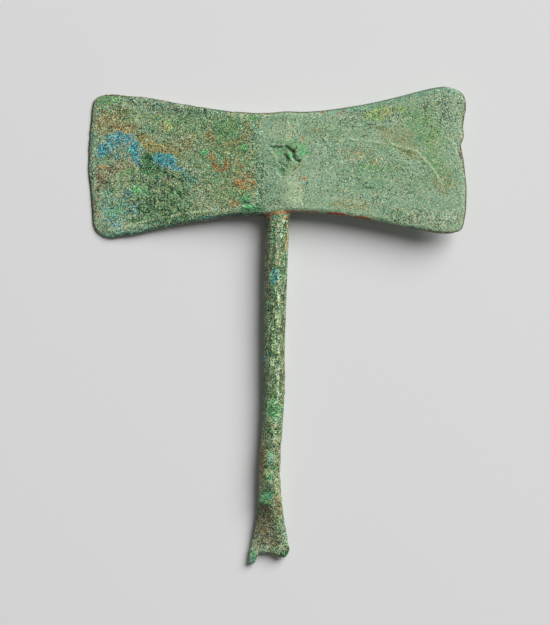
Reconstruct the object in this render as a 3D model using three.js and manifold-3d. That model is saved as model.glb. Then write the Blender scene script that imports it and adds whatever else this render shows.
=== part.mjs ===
// A bronze double axe: a double-bitted blade and its round haft, cast in one piece.
//
// Millimetres, +Z up. The axe lies on its back as a loose thing does. The blade runs along X, its
// haft along -Y. It rests on the swelling in the middle of the blade, on the left cutting edge and
// on the back of the haft's splayed end, so the blade leans down to the left.
// The shape is first drawn flat, in the axe's own frame: x along the blade, y up the haft towards
// the blade, w through the thickness, with its origin where the haft's line meets the blade's
// middle. It is then turned and lowered onto the ground.

import * as THREE from "three";
import { mergeVertices } from "three/addons/utils/BufferGeometryUtils.js";
import Module from "manifold-3d";

// Blade, seen from the front. Its four corners differ: each has the height of its long side over
// the waist, the share of the way there at which that side starts to rise, how much it eases in
// and out rather than curving evenly, and the corner's radius.
const HALF_SPAN = 75.8; // from the haft's line to either cutting edge
const WAIST = { top: 20, bottomLeft: 20.1, bottomRight: 19.1 }; // half heights beside the haft
const CORNERS = {
  left: {
    top: { rise: 7.7, start: 0.1, ease: 1, radius: 3.4 },
    bottom: { rise: 9.3, start: 0, ease: 0.1, radius: 6 },
  },
  right: {
    top: { rise: 10.2, start: 0, ease: 0, radius: 6.4 },
    bottom: { rise: 8.4, start: 0.1, ease: 0.35, radius: 4.2 },
  },
};
const FLAT_END = 5; // the long sides stop rising this far short of the cutting edges
const HUMP = { x: 4, height: 0.6, width: 5 }; // low rise on the top side, over the haft
const EDGES = {
  // how far the middle of a cutting edge stands out, and its worn hollows: height, depth, width
  left: {
    bow: 2.6,
    nicks: [{ y: -14, depth: 0.8, width: 9 }],
  },
  right: {
    bow: 0.5,
    nicks: [
      { y: 15.5, depth: 1.4, width: 4 },
      { y: 6.6, depth: 2.3, width: 4.4 },
      { y: -1.5, depth: 1, width: 4 },
      { y: -24, depth: 0.8, width: 3.5 },
    ],
  },
};

// Blade, through its thickness.
const SWELL_THICK = 11.6; // at the band that carries the haft
const SWELL = {
  // the band's middle and half its width, on either face
  front: { x: -1, half: 5 },
  back: { x: 2.5, half: 2.5 },
};
const EDGE_HALF = 0.75; // half thickness just inside a cutting edge's bevel
const STEEPER = 0.35; // share of the taper that is steep beside the swelling and dies out
const BEVEL = 2.2; // width of the cutting bevel
const SHOULDER = 1.7; // width of the rounded shoulder along the long sides
const SHOULDER_DROP = 0.2; // share of the thickness that the shoulder takes away
const SCARS = [
  // hollows in the front face: place, half sizes and depth
  { x: 6.6, y: 4.6, wide: 3.4, high: 2.4, deep: 1.3 },
  { x: 4.4, y: -2.4, wide: 2.2, high: 2.8, deep: 0.7 },
  { x: -13.2, y: -17.6, wide: 2.4, high: 1.8, deep: 0.8 },
];

// Haft: its line, from inside the blade to where the splayed end begins.
const HAFT_LINE = [
  [0.4, -11],
  [0.3, -22],
  [-0.7, -50],
  [-1.2, -76],
  [-1.4, -96],
  [-2.7, -116],
  [-3, -124],
];
const HAFT_ROOT = -19.6; // where it leaves the blade
const HAFT_HALF = { top: 4.7, waist: 4.1 }; // half width at the blade and at its thinnest
const FILLET = { extra: 0.9, reach: 1.3 }; // widening where it joins the blade

// Splayed, broken end of the haft: a fish tail with a long left prong and a blunt right one.
// The prongs are given by shares of the way across, from -1 on the left to 1 on the right.
const TAIL_TOP = -124;
const TAIL_END = -155.8; // the floor of the notch between the prongs
const TAIL_HALF = { left: 9, right: 7.7 }; // reach of the prongs from the haft's line
const TAIL_THICK_HALF = 1.75;
const LEFT_PRONG = { inner: -0.6, slope: 0.22, reach: 4.2 };
const RIGHT_PRONG = { inner: 0.1, middle: 0.58, reach: 1.6, rounding: 3.6 };
const CLOSE = 0.03; // share of the tail over which its broken end rounds off
const BUTT = { y: -157, left: -5 }; // the right prong's broken face, and a line left of that prong

// How it lies.
const FLAT_DEPTH = 0.22; // depth of the spot worn flat on the back of the swelling
const REST_X = SWELL.back.x - SWELL.back.half; // the back's ridge, just right of the mass centre
const LEAN = Math.atan((SWELL_THICK / 2 - FLAT_DEPTH - EDGE_HALF * 0.6) / (HALF_SPAN + REST_X));

// Numbers of facets.
const ACROSS = 24; // over a face, from the bottom side to the top side
const ROUND = 30; // round the haft
const BAND = { half: 12, stations: 12 }; // the middle of the blade; its stations meet the ridges
const WING_STATIONS = 17; // along each wing, from the band to the bevel
const BEVEL_STATIONS = [BEVEL, 0.45, 0.08, 0]; // over the bevel, by distance from the edge
const HAFT_STATIONS = 22;
const TAIL_STATIONS = 13;

const { clamp, lerp, smoothstep } = THREE.MathUtils;
const bell = (d, width) => Math.exp(-((d / width) ** 2));
const wasm = await Module();
wasm.setup();

const side = (x) => (x < 0 ? "left" : "right");

// Half heights of the blade at x, to its top side and to its bottom side.
function topSide(x) {
  return WAIST.top + flare(x, "top") + HUMP.height * bell(x - HUMP.x, HUMP.width);
}
function bottomSide(x) {
  const waist = lerp(WAIST.bottomLeft, WAIST.bottomRight, smoothstep(x, -4, 4));
  return -waist - flare(x, "bottom");
}

// How far a long side has risen from the waist at x: near a parabola that levels off, or, as its
// ease goes from 0 to 1, a gentle start and finish.
function flare(x, longSide) {
  const { rise, start, ease } = CORNERS[side(x)][longSide];
  const u = clamp((Math.abs(x) / (HALF_SPAN - FLAT_END) - start) / (1 - start), 0, 1);
  return rise * lerp(1.36 * u ** 2 - 0.36 * u ** 10, smoothstep(u, 0, 1), ease);
}

// Distance from the haft's line to a cutting edge at share t of its height, from -1 to 1.
function edgeReach(name, t) {
  const end = name === "left" ? -HALF_SPAN : HALF_SPAN;
  const half = (topSide(end) - bottomSide(end)) / 2;
  const y = (topSide(end) + bottomSide(end)) / 2 + t * half;
  const { radius } = CORNERS[name][t > 0 ? "top" : "bottom"];
  const past = Math.max(0, Math.abs(t) * half - (half - radius));
  let reach = HALF_SPAN - EDGES[name].bow * t ** 2;
  reach -= radius * (1 - Math.sqrt(1 - Math.min(past / radius, 1) ** 2));
  for (const nick of EDGES[name].nicks) reach -= nick.depth * bell(y - nick.y, nick.width);
  return reach;
}

// How far a face of the blade's body stands from the middle plane at x.
function bodyHalf(x, face) {
  const swell = face > 0 ? SWELL.front : SWELL.back;
  const u = clamp((Math.abs(x - swell.x) - swell.half) / (HALF_SPAN - swell.half), 0, 1);
  const taper = STEEPER * (1 - u) ** 2 + (1 - STEEPER) * (1 - u);
  return EDGE_HALF + (SWELL_THICK / 2 - EDGE_HALF) * taper;
}

// A point of the blade: s from -1 to 1 along it, t from -1 to 1 across it, face 1 or -1.
function bladePoint(s, t, face) {
  const reach = edgeReach(side(s), t);
  const x = s * reach;
  const low = bottomSide(x);
  const high = topSide(x);
  const y = lerp(low, high, (t + 1) / 2);
  const toEdge = reach - Math.abs(x);
  const toSide = Math.min(y - low, high - y);
  const honed = Math.sqrt(clamp(toEdge / BEVEL, 0, 1)); // 0 at the very edge
  const rolled = 1 - SHOULDER_DROP * (1 - clamp(toSide / SHOULDER, 0, 1)) ** 2;
  let w = bodyHalf(x, face) * rolled * honed;
  if (face > 0)
    for (const scar of SCARS)
      w -= scar.deep * bell(x - scar.x, scar.wide) * bell(y - scar.y, scar.high);
  return new THREE.Vector3(x, y, face * w);
}

// Evenly spaced values, without the last one.
const spaced = (from, to, count) =>
  Array.from({ length: count }, (_, i) => lerp(from, to, i / count));

// Skins closed rings of points in a row. The first ring and the last are folded flat, so that
// their points meet in pairs and close the ends.
function loft(rings) {
  const count = rings[0].length;
  const index = [];
  for (let i = 0; i + 1 < rings.length; i++)
    for (let j = 0; j < count; j++) {
      const a = i * count + j;
      const b = i * count + ((j + 1) % count);
      index.push(a, b, b + count, a, b + count, a + count);
    }
  return new THREE.BufferGeometry().setFromPoints(rings.flat()).setIndex(index);
}

// A closed geometry as a manifold-3d solid, its shared points merged and folded faces dropped.
function toSolid(geometry) {
  const merged = mergeVertices(geometry, 1e-3);
  const triVerts = [];
  const { array } = merged.index;
  for (let i = 0; i < array.length; i += 3) {
    const [a, b, c] = array.slice(i, i + 3);
    if (a !== b && b !== c && c !== a) triVerts.push(a, b, c);
  }
  const vertProperties = merged.attributes.position.array;
  return new wasm.Manifold(
    new wasm.Mesh({ numProp: 3, vertProperties, triVerts: new Uint32Array(triVerts) }),
  );
}

function toGeometry(solid) {
  const { vertProperties, triVerts } = solid.getMesh();
  const geometry = new THREE.BufferGeometry();
  geometry.setAttribute("position", new THREE.BufferAttribute(vertProperties, 3));
  geometry.setIndex(new THREE.BufferAttribute(triVerts, 1));
  return geometry;
}

function bladeSolid() {
  const wing = [
    ...spaced(BAND.half, HALF_SPAN - BEVEL, WING_STATIONS),
    ...BEVEL_STATIONS.map((distance) => HALF_SPAN - distance),
  ];
  const stations = [
    ...wing.map((d) => -d).reverse(),
    ...spaced(-BAND.half, BAND.half, BAND.stations).slice(1),
    ...wing,
  ];
  // Lines across the face gather towards the long sides, where the shoulder and corners are.
  const lines = spaced(-1, 1, ACROSS).concat(1);
  const across = lines.map((t) => 0.75 * t + 0.25 * Math.sin((t * Math.PI) / 2));
  const rings = stations.map((d) => [
    ...across.map((t) => bladePoint(d / HALF_SPAN, t, -1)),
    ...[...across].reverse().map((t) => bladePoint(d / HALF_SPAN, t, 1)),
  ]);
  return toSolid(loft(rings));
}

// How far down the broken end reaches at share q of the way across it.
function tailEnd(q) {
  const { inner, slope, reach } = LEFT_PRONG;
  const left = reach * (1 - smoothstep(q, inner - slope / 2, inner + slope / 2));
  const right = RIGHT_PRONG.reach * smoothstep(q, RIGHT_PRONG.inner, RIGHT_PRONG.middle);
  const past = clamp((q - RIGHT_PRONG.middle) / (1 - RIGHT_PRONG.middle), 0, 1);
  return TAIL_END - left - right + RIGHT_PRONG.rounding * (1 - Math.sqrt(1 - past ** 2));
}

// A ring of the haft. Each point is at share q = cos(angle) across it.
function haftRing(place) {
  return spaced(0, 2 * Math.PI, ROUND).map((angle) => place(Math.cos(angle), Math.sin(angle)));
}

// Height of the ground under x, in the axe's own frame. It rises to the left, where the blade
// leans down, and it cuts a thin flat off the back of the swelling.
function groundUnder(x) {
  return FLAT_DEPTH - SWELL_THICK / 2 + (REST_X - x) * Math.tan(LEAN);
}

function haftSolid() {
  const line = new THREE.SplineCurve(HAFT_LINE.map(([x, y]) => new THREE.Vector2(x, y)));
  const tailX = line.getPoint(1).x;
  // The haft's line starts level inside the blade, then sinks until the haft's back lies on the
  // ground. The tail thins from there, and its left prong stays down.
  const lowest = groundUnder(tailX) + HAFT_HALF.waist;
  const prongDepth = groundUnder(tailX - TAIL_HALF.left) + TAIL_THICK_HALF;

  const shaft = spaced(0, 1, HAFT_STATIONS).map((v) => {
    const { x, y } = line.getPoint(v);
    const depth = lowest * clamp((y - HAFT_ROOT) / (TAIL_TOP - HAFT_ROOT), 0, 1);
    const fillet = FILLET.extra * Math.exp(Math.min(0, y - HAFT_ROOT) / FILLET.reach);
    const half = lerp(HAFT_HALF.top, HAFT_HALF.waist, smoothstep(-y, 20, 112)) + fillet;
    const folded = v === 0 ? 0 : 1;
    return haftRing((c, s) => new THREE.Vector3(x + c * half, y, depth + folded * s * half));
  });
  const shares = [...spaced(0, 1 - CLOSE, TAIL_STATIONS), 1 - CLOSE, 1 - CLOSE / 4, 1];
  const tail = shares.map((v) => {
    const flattened = smoothstep(v, 0, 0.85);
    const thin = lerp(HAFT_HALF.waist, TAIL_THICK_HALF, flattened);
    const depth = lerp(lowest, prongDepth, flattened);
    const boxy = lerp(1, 0.6, v); // the section goes from round to a rounded slab
    const closing = Math.sqrt(clamp((1 - v) / CLOSE, 0, 1)); // rounds the end, then folds it
    return haftRing((c, s) => {
      const reach = c < 0 ? TAIL_HALF.left : TAIL_HALF.right;
      const x = tailX + c * lerp(HAFT_HALF.waist, reach, v ** 1.6);
      const y = lerp(TAIL_TOP, tailEnd(c), v);
      return new THREE.Vector3(x, y, depth + Math.sign(s) * Math.abs(s) ** boxy * thin * closing);
    });
  });
  return toSolid(loft([...shaft, ...tail]));
}

// A large block whose face nearest the origin passes through a point. It cuts off what is beyond.
function cutter(point, turn) {
  const size = 400;
  const block = new THREE.BoxGeometry(size, size, size).translate(0, 0, -size / 2);
  block.deleteAttribute("normal").deleteAttribute("uv");
  block.applyMatrix4(new THREE.Matrix4().makeRotationFromEuler(turn));
  return toSolid(block.translate(...point));
}

function axeSolid() {
  const ground = cutter([0, 0, groundUnder(0)], new THREE.Euler(0, LEAN, 0));
  const pastButt = cutter([0, BUTT.y, 0], new THREE.Euler(-Math.PI / 2, 0, 0));
  const leftOfButt = cutter([BUTT.left, 0, 0], new THREE.Euler(0, Math.PI / 2, 0));
  return bladeSolid().add(haftSolid()).subtract(ground).subtract(pastButt.subtract(leftOfButt));
}

const bronze = new THREE.MeshStandardMaterial({
  name: "patinated_bronze",
  color: new THREE.Color().setRGB(0.42, 0.53, 0.4, THREE.SRGBColorSpace),
  roughness: 0.8,
  metalness: 0.15,
});

const axe = new THREE.Mesh(toGeometry(axeSolid()), bronze);
axe.name = "double_axe";
axe.rotation.y = -LEAN;

// The origin is under the middle of the whole, on the ground.
const doubleAxe = new THREE.Group();
doubleAxe.add(axe);
const box = new THREE.Box3().setFromObject(doubleAxe, true);
const middle = box.getCenter(new THREE.Vector3());
axe.position.set(-middle.x, -middle.y, -box.min.z);

export default doubleAxe;
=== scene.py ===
"""A bronze double axe with a mottled green patina, lying on a pale floor.

The CAD model gives the place and size. This script rebuilds the axe's surface as one fine mesh, with
the relief that casting, wear and corrosion left on it, and colours it with procedural nodes.
The shape is worked out in the axe's own frame, in millimetres: x along the blade, y up the haft
towards the blade, w out through the blade's front. It is laid on the ground at the end, as in the CAD.
"""

import math
from itertools import product

import bpy
import numpy as np
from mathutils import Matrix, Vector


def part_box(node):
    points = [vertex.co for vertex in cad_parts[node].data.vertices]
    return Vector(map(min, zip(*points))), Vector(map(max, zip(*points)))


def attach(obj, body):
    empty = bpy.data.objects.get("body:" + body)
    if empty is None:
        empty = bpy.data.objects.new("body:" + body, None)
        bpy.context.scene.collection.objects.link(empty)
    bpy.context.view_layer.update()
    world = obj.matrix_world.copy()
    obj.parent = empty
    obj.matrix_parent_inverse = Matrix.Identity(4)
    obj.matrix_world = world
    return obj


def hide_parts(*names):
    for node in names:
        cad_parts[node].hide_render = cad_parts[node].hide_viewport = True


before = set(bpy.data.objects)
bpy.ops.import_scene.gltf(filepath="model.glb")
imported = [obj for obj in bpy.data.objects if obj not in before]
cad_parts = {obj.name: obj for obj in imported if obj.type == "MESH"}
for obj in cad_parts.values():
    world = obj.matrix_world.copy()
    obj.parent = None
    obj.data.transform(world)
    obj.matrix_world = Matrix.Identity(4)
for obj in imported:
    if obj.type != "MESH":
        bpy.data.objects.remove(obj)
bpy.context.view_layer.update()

NODE = "double_axe"
MM = 0.001

# Blade, seen from the front, as in the CAD.
HALF_SPAN = 75.8
WAIST_TOP, WAIST_BOTTOM_LEFT, WAIST_BOTTOM_RIGHT = 20, 20.1, 19.1
# Each corner: rise of the long side over the waist, where along it the rise starts, how much it
# eases in and out, and the corner's radius.
CORNERS = {
    ("left", "top"): (7.7, 0.1, 1, 3.4),
    ("left", "bottom"): (9.3, 0, 0.1, 6),
    ("right", "top"): (10.2, 0, 0, 6.4),
    ("right", "bottom"): (8.4, 0.1, 0.35, 4.2),
}
FLAT_END = 5
FLARE_CURVE = 1.36  # how strongly a side that isn't eased curves outwards
HUMP = (4, 0.6, 5)  # x, height, width
BOW = {"left": 2.6, "right": 0.5}
NICKS = {  # height on the edge, depth, width
    "left": [(-14, 0.8, 9)],
    "right": [(15.5, 1.4, 4), (6.6, 2.3, 4.4), (-1.5, 1, 4), (-24, 0.8, 3.5)],
}
EDGE_WEAR, EDGE_WEAR_SIZE = 0.24, 2.2  # small chips all along the cutting edges

# Blade, through its thickness.
SWELL_THICK = 11.6
SWELL = {1: (-1, 5), -1: (2.5, 2.5)}  # by face: the band's middle and half its width
EDGE_HALF = 0.75
STEEPER = 0.35  # share of the taper that is steeper near the swelling
BEVEL = 2.2  # width of the bevel that hones each cutting edge
BLUNT = 0.002  # what is left of the thickness at the very edge, squared
SHOULDER, SHOULDER_DROP = 1.7, 0.2  # rounding along the long sides: its width, its share of the thickness
SIDE_BULGE = 0.35  # how far the long sides stand out between their rims

# Haft and its splayed, broken end.
HAFT_LINE = [(0.4, -11), (0.3, -22), (-0.7, -50), (-1.2, -76), (-1.4, -96), (-2.7, -116), (-3, -124)]
HAFT_ROOT = -19.6
HAFT_HALF_TOP, HAFT_HALF_WAIST = 4.7, 4.1
THINS_FROM, THINS_TO = 20, 112  # how far down the haft it thins from one to the other
FILLET_EXTRA, FILLET_REACH = 0.9, 1.3
TAIL_TOP = -124
TAIL_END = -155.8
TAIL_HALF_LEFT, TAIL_HALF_RIGHT = 9, 7.7
TAIL_THICK_HALF = 1.75
TAIL_FLAT_BY = 0.85  # share of the splayed end over which it flattens
TAIL_SPREAD = 1.6  # over 1, it spreads mostly near the break
TAIL_SQUARE = 0.6  # under 1, its section is squarer than an ellipse
LEFT_PRONG = (-0.6, 0.22, 4.2)  # inner side, slope, reach
RIGHT_PRONG = (0.1, 0.58, 1.6, 3.6)  # inner side, middle, reach, rounding
BREAK_ROUNDING = 0.03  # share of the splayed end that rounds off at the break
CLOSED = 0.02  # share of the thickness left where the haft's mesh ends
JOINT_REACH, JOINT_INNER, JOINT_OUTER = 2.2, 6.5, 8.5  # where the joint is smoothed, and where that fades
JOINT_PASSES = 14

# How it lies: on the back's swelling, by a flat this deep, and on its left edge.
FLAT_DEPTH = 0.22
REST_X = SWELL[-1][0] - SWELL[-1][1]
LEAN = math.atan((SWELL_THICK / 2 - FLAT_DEPTH - EDGE_HALF * 0.6) / (HALF_SPAN + REST_X))

# Fineness of the mesh.
BLADE_STATIONS = 350
FRONT_LINES, BACK_LINES = 128, 60
WALL_LINES = 7  # over each long side, between its rims
HAFT_STATIONS = 230
TAIL_STATIONS = 70
HAFT_LINES = 56


# ---------------- small maths


def lerp(a, b, t):
    return a + (b - a) * t


def smoothstep(x, low, high):
    t = np.clip((x - low) / (high - low), 0, 1)
    return t * t * (3 - 2 * t)


def bell(d, width):
    return np.exp(-((d / width) ** 2))


def spline(points, count):
    """Points along a uniform Catmull-Rom curve, its ends held, without the last point."""
    p = np.array([points[0], *points, points[-1]], float)
    place = np.arange(count) / count * (len(points) - 1)
    i = place.astype(int)
    t = (place - i)[:, None]
    p0, p1, p2, p3 = p[i], p[i + 1], p[i + 2], p[i + 3]
    slope1, slope2 = (p2 - p0) / 2, (p3 - p1) / 2
    cubic = (2 * p1 - 2 * p2 + slope1 + slope2) * t**3
    square = (-3 * p1 + 3 * p2 - 2 * slope1 - slope2) * t**2
    return cubic + square + slope1 * t + p1


def gradients(cell):
    """A steady pseudo-random vector for each lattice cell."""
    h = cell[:, 0] * 73856093 ^ cell[:, 1] * 19349663 ^ cell[:, 2] * 83492791
    mixed = [((h ^ (h >> 11)) * odd >> 7) & 0xFFFF for odd in (2654435761, 2246822519, 3266489917)]
    return np.stack(mixed, 1) / 32767.5 - 1


def noise(points, size, seed, octaves=1):
    """Smooth noise, mostly from -1 to 1, whose bumps are about size across."""
    total = np.zeros(len(points))
    for octave in range(octaves):
        place = points / size * 2**octave + (seed * 7.31 + octave * 3.17)
        low = np.floor(place)
        f = place - low
        fade = f**3 * (f * (f * 6 - 15) + 10)
        for corner in product((0, 1), repeat=3):
            offset = f - corner
            reach = np.prod(np.where(corner, fade, 1 - fade), axis=1)
            pull = gradients((low + corner).astype(np.int64))
            total += 1.6 * reach * (pull * offset).sum(1) / 2**octave
    return total


# ---------------- the shape


def flare(x, long_side):
    """How far a long side has risen from the waist at each x."""
    risen = np.zeros_like(x)
    for name, here in (("left", x < 0), ("right", x >= 0)):
        rise, start, ease, _ = CORNERS[name, long_side]
        u = np.clip((np.abs(x) / (HALF_SPAN - FLAT_END) - start) / (1 - start), 0, 1)
        curved = FLARE_CURVE * u**2 - (FLARE_CURVE - 1) * u**10
        shape = lerp(curved, smoothstep(u, 0, 1), ease)
        risen = np.where(here, rise * shape, risen)
    return risen


def top_side(x):
    hump_x, height, width = HUMP
    return WAIST_TOP + flare(x, "top") + height * bell(x - hump_x, width)


def bottom_side(x):
    waist = lerp(WAIST_BOTTOM_LEFT, WAIST_BOTTOM_RIGHT, smoothstep(x, -4, 4))
    return -waist - flare(x, "bottom")


def edge_reach(name, t):
    """Distance from the haft's line to a cutting edge at share t of its height."""
    end = np.array([-HALF_SPAN if name == "left" else HALF_SPAN])
    high, low = top_side(end)[0], bottom_side(end)[0]
    half = (high - low) / 2
    y = (high + low) / 2 + t * half
    radius = np.where(t > 0, CORNERS[name, "top"][3], CORNERS[name, "bottom"][3])
    past = np.clip((np.abs(t) * half - (half - radius)) / radius, 0, 1)
    reach = HALF_SPAN - BOW[name] * t**2 - radius * (1 - np.sqrt(1 - past**2))
    for nick_y, depth, width in NICKS[name]:
        reach = reach - depth * bell(y - nick_y, width)
    along = np.stack([y, np.zeros_like(y), np.full_like(y, end[0])], 1)
    return reach + EDGE_WEAR * noise(along, EDGE_WEAR_SIZE, 3, 3)


def body_half(x, face):
    """How far a face of the blade's body stands from the middle plane at x."""
    middle, half = SWELL[face]
    u = np.clip((np.abs(x - middle) - half) / (HALF_SPAN - half), 0, 1)
    taper = STEEPER * (1 - u) ** 2 + (1 - STEEPER) * (1 - u)
    return EDGE_HALF + (SWELL_THICK / 2 - EDGE_HALF) * taper


def blade_line(s, t, face, out=0):
    """One lengthwise line of the blade: s along it from -1 to 1, at share t of its height.
    face runs from 1 at the front to -1 at the back, and out pushes a long side outwards."""
    t_here = np.full_like(s, t)
    reach = np.where(s < 0, edge_reach("left", t_here), edge_reach("right", t_here))
    x = s * reach
    low, high = bottom_side(x), top_side(x)
    y = lerp(low, high, (t + 1) / 2)
    honed = np.sqrt(np.clip((reach - np.abs(x)) / BEVEL, BLUNT, 1))
    to_side = np.minimum(y - low, high - y)
    rolled = 1 - SHOULDER_DROP * (1 - np.clip(to_side / SHOULDER, 0, 1)) ** 2
    front, back = body_half(x, 1), -body_half(x, -1)
    w = lerp(back, front, (face + 1) / 2) * rolled * honed
    return np.stack([x, y + math.copysign(out, t) * honed, w], 1)


def placed(name, data):
    """A new object in the scene."""
    thing = bpy.data.objects.new(name, data)
    bpy.context.scene.collection.objects.link(thing)
    return thing


def skin(name, rings):
    """A mesh object over rings of points, its first and last rings capped."""
    count, size = rings.shape[:2]
    corner = np.arange(count * size).reshape(count, size)
    beside = np.roll(corner, -1, axis=1)
    quads = np.stack([corner[:-1], beside[:-1], beside[1:], corner[1:]], -1).reshape(-1, 4)
    caps = [corner[0, ::-1].tolist(), corner[-1].tolist()]
    mesh = bpy.data.meshes.new(name)
    mesh.from_pydata(rings.reshape(-1, 3).tolist(), [], quads.tolist() + caps)
    mesh.update()
    return placed(name, mesh)


def apply_modifiers(piece):
    graph = bpy.context.evaluated_depsgraph_get()
    graph.update()
    final = bpy.data.meshes.new_from_object(piece.evaluated_get(graph))
    piece.modifiers.clear()
    old, piece.data = piece.data, final
    bpy.data.meshes.remove(old)


def gathered(count, ends):
    """Steps from -1 to 1 that draw together towards both ends."""
    share = np.linspace(-1, 1, count)
    return lerp(share, np.sin(share * math.pi / 2), ends)


def blade_mesh():
    s = gathered(BLADE_STATIONS, 0.18)
    turn = np.linspace(0, math.pi, WALL_LINES + 2)[1:-1]
    front = [blade_line(s, t, 1) for t in gathered(FRONT_LINES, 0.2)]
    top_wall = [blade_line(s, 1, math.cos(a), SIDE_BULGE * math.sin(a)) for a in turn]
    back = [blade_line(s, t, -1) for t in -gathered(BACK_LINES, 0.2)]
    bottom_wall = [blade_line(s, -1, -math.cos(a), SIDE_BULGE * math.sin(a)) for a in turn]
    rings = np.stack(front + top_wall + back + bottom_wall, 1)
    return skin("blade", rings[::-1])


def ground_under(x):
    """The ground's w, in the axe's own frame, at each x."""
    return FLAT_DEPTH - SWELL_THICK / 2 + (REST_X - x) * math.tan(LEAN)


def tail_end(q):
    """How far down the broken end reaches at share q of the way across it."""
    inner, slope, reach = LEFT_PRONG
    left = reach * (1 - smoothstep(q, inner - slope / 2, inner + slope / 2))
    inner, middle, reach, rounding = RIGHT_PRONG
    right = reach * smoothstep(q, inner, middle)
    past = np.clip((q - middle) / (1 - middle), 0, 1)
    return TAIL_END - left - right + rounding * (1 - np.sqrt(1 - past**2))


def haft_mesh():
    """The round bar, from inside the blade down to where it splays, and the splayed, broken end."""
    angle = np.arange(HAFT_LINES) / HAFT_LINES * 2 * math.pi
    c, s = np.cos(angle), np.sin(angle)
    tail_x = HAFT_LINE[-1][0]
    lowest = ground_under(tail_x) + HAFT_HALF_WAIST
    prong_depth = ground_under(tail_x - TAIL_HALF_LEFT) + TAIL_THICK_HALF
    rings = []
    for i, (x, y) in enumerate(spline(HAFT_LINE, HAFT_STATIONS)):
        depth = lowest * np.clip((y - HAFT_ROOT) / (TAIL_TOP - HAFT_ROOT), 0, 1)
        fillet = FILLET_EXTRA * math.exp(min(0, y - HAFT_ROOT) / FILLET_REACH)
        half = lerp(HAFT_HALF_TOP, HAFT_HALF_WAIST, smoothstep(-y, THINS_FROM, THINS_TO)) + fillet
        thick = half if i else half * CLOSED
        rings.append(np.stack([x + c * half, np.full_like(c, y), depth + s * thick], 1))
    shares = [*np.linspace(0, 1 - BREAK_ROUNDING, TAIL_STATIONS, endpoint=False)]
    shares += [1 - BREAK_ROUNDING * left for left in (1, 0.6, 0.3, 0.1, 0)]
    for v in shares:
        flattened = smoothstep(v, 0, TAIL_FLAT_BY)
        thin = lerp(HAFT_HALF_WAIST, TAIL_THICK_HALF, flattened)
        depth = lerp(lowest, prong_depth, flattened)
        closing = max(CLOSED, math.sqrt(np.clip((1 - v) / BREAK_ROUNDING, 0, 1)))
        reach = np.where(c < 0, TAIL_HALF_LEFT, TAIL_HALF_RIGHT)
        x = tail_x + c * lerp(HAFT_HALF_WAIST, reach, v**TAIL_SPREAD)
        y = lerp(TAIL_TOP, tail_end(c), v)
        w = depth + np.sign(s) * np.abs(s) ** lerp(1, TAIL_SQUARE, v) * thin * closing
        rings.append(np.stack([x, y, w], 1))
    return skin("haft", np.array(rings))


def joined_axe():
    axe, haft = blade_mesh(), haft_mesh()
    join = axe.modifiers.new("join", "BOOLEAN")
    join.operation = "UNION"
    join.solver = "MANIFOLD"
    join.object = haft
    apply_modifiers(axe)
    bpy.data.objects.remove(haft)
    axe.name = axe.data.name = "axe"
    return axe


def soften_joint(axe):
    """Turns the crease between haft and blade into a small fillet."""
    place = vertex_array(axe.data.vertices, "co")
    x, y, _ = place.T
    near = bell(y - HAFT_ROOT, JOINT_REACH) * smoothstep(-np.abs(x), -JOINT_OUTER, -JOINT_INNER)
    group = axe.vertex_groups.new(name="joint")
    for i in np.flatnonzero(near > 0.02):
        group.add([int(i)], float(near[i]), "REPLACE")
    smooth = axe.modifiers.new("soften", "SMOOTH")
    smooth.vertex_group = group.name
    smooth.factor = 0.5
    smooth.iterations = JOINT_PASSES
    apply_modifiers(axe)
    axe.vertex_groups.clear()


def vertex_array(items, attribute):
    flat = np.empty(len(items) * 3, np.float32)
    items.foreach_get(attribute, flat)
    return flat.reshape(-1, 3).astype(float)


# ---------------- marks on the front
# All in millimetres in the axe's own frame.

# Hollows: x, y, half width, half height, depth, and any turn in degrees. A negative depth is a lump.
HOLLOWS = [
    # The scar: its basin, the dent below it, and metal pushed up over it.
    (3.6, 3.4, 3.6, 3, 0.3, -30), (2.2, -2.8, 1.7, 2.2, 0.45, 28), (3.6, 9, 6, 1, -0.12),
    # Left wing: a three-sided dent, a ring-shaped pit, the emerald crust and its hole,
    # a dark pit between the blue patches, a lump and two small pits.
    (-22, 12.6, 1.9, 1.3, 0.35, -30), (-29, 4.4, 0.7, 0.7, 0.35), (-29, 4.4, 1.5, 1.5, -0.12),
    (-12.1, -15.5, 1.1, 0.6, 0.7), (-12, -14.2, 3.2, 2.2, -0.35, 10), (-51.8, 2, 1.8, 2, 0.35),
    (-13.2, 6.4, 1.3, 1.2, -0.2), (-32, -9.5, 0.7, 0.6, 0.3), (-25.6, -17.5, 0.7, 0.5, 0.3),
    # Right wing: worn hollows above and below the raised curve, the swelling beyond it, and the
    # hollow behind the broken bite in the edge.
    (49.8, 9.6, 6, 2.6, 0.22, -12), (53.5, 2.6, 5.4, 2, 0.25, -32), (66, 14, 8, 12, -0.2),
    (73.4, 6.6, 1.6, 3.4, 0.3),
    # Down the haft: crusts and small pits, and a smooth shallow hollow in the splayed end.
    (-4.4, -117, 2.4, 2.2, -0.35), (-1.6, -118, 2, 2.4, -0.5), (-3.4, -124.6, 2.8, 3, -0.55),
    (-1.4, -128.4, 1.6, 1.6, -0.35), (-5, -134.6, 2.4, 2.2, -0.55), (-2.6, -131, 0.8, 0.7, 0.4),
    (-3.2, -121, 1, 0.8, 0.4), (-0.8, -37.1, 1, 0.9, 0.2), (-2.6, -139.4, 0.7, 2, 0.35, 20),
    (-6, -141.5, 3, 5.5, 0.35, 8), (-9.6, -157, 1.1, 2.4, -0.25, 15), (2.4, -155.2, 2, 1.4, -0.2, 30),
]
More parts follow.
